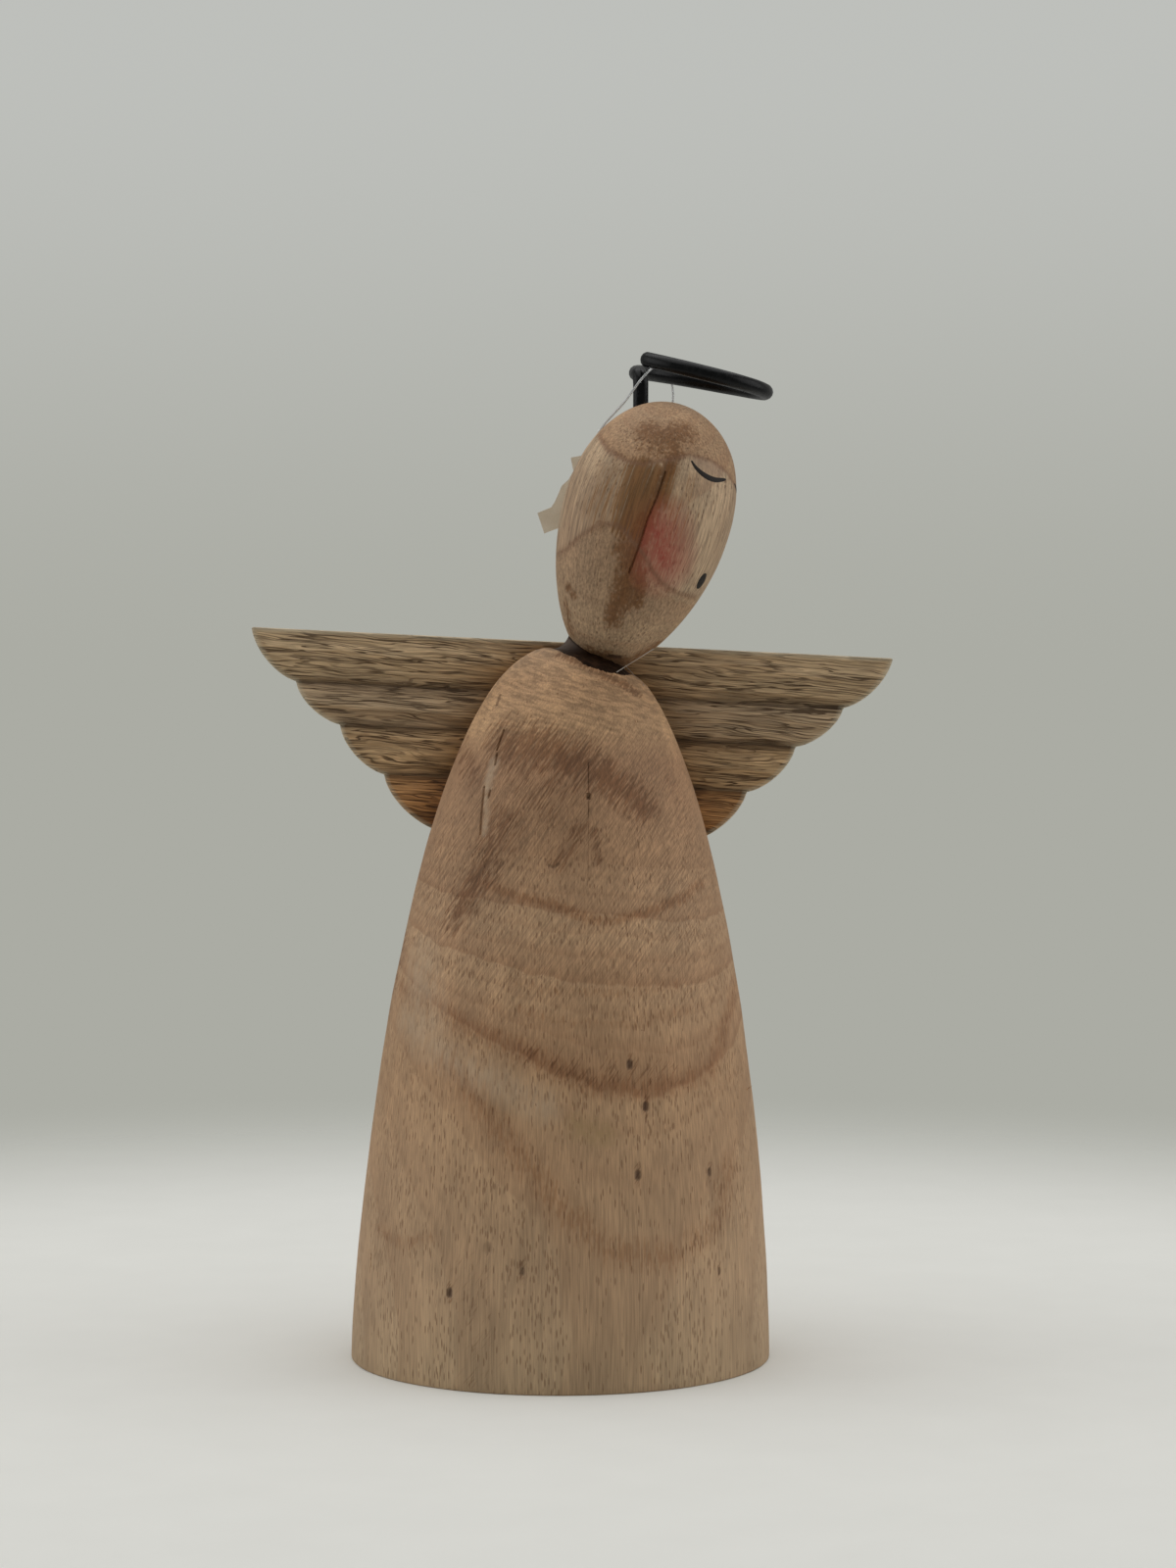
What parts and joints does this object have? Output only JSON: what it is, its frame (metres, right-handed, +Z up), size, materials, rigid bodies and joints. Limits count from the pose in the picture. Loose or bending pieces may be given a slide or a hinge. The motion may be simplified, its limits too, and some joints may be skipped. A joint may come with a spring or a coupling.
{
  "type": "wooden angel doll",
  "caption": "Standing wooden angel doll: turned cone body, tilted egg head glued on a dowel, carved wing board behind, black wire halo and a paper tag on a clear nylon loop.",
  "frame": {"origin": "centre of the body's flat base, where its turning axis meets the surface it stands on", "axes": "+Z up, the doll's front towards -Y, +X to the right of someone who looks at its front, wings at +Y"},
  "size_m": [0.1414, 0.0906, 0.2171],
  "materials": {
    "body_wood": "turned pinkish tan softwood, thin satin seal, fine pores",
    "head_wood": "paler turned wood, hand painted face, thin satin seal",
    "dowel_wood": "plain birch dowel",
    "wing_wood": "carved coarse-grained brown wood, matt",
    "brown_glue": "set hot-melt glue, dark brown with dull shine",
    "wood_glue": "dried wood glue",
    "brad_steel": "dull wire brad",
    "black_wire": "satin black enamelled wire",
    "clear_nylon": "clear nylon filament",
    "label_paper": "plain cream paper"
  },
  "bodies": {
    "figure": {"body": "body_wood", "head": "head_wood", "neck_dowel": "dowel_wood", "neck_glue": "brown_glue", "wing_board": "wing_wood", "wing_glue": "wood_glue", "wing_brads": "brad_steel", "halo": "black_wire"},
    "tag": {"tag_loop": "clear_nylon", "tag_label": "label_paper"}
  },
  "joints": [
    {"name": "tag_swing", "type": "hinge", "parent": "figure", "child": "tag", "pos_m": [0.0199, 0.01, 0.21296], "axis": [0.2641, 0.9402, 0.2151], "range_deg": [0, 60]}
  ]
}
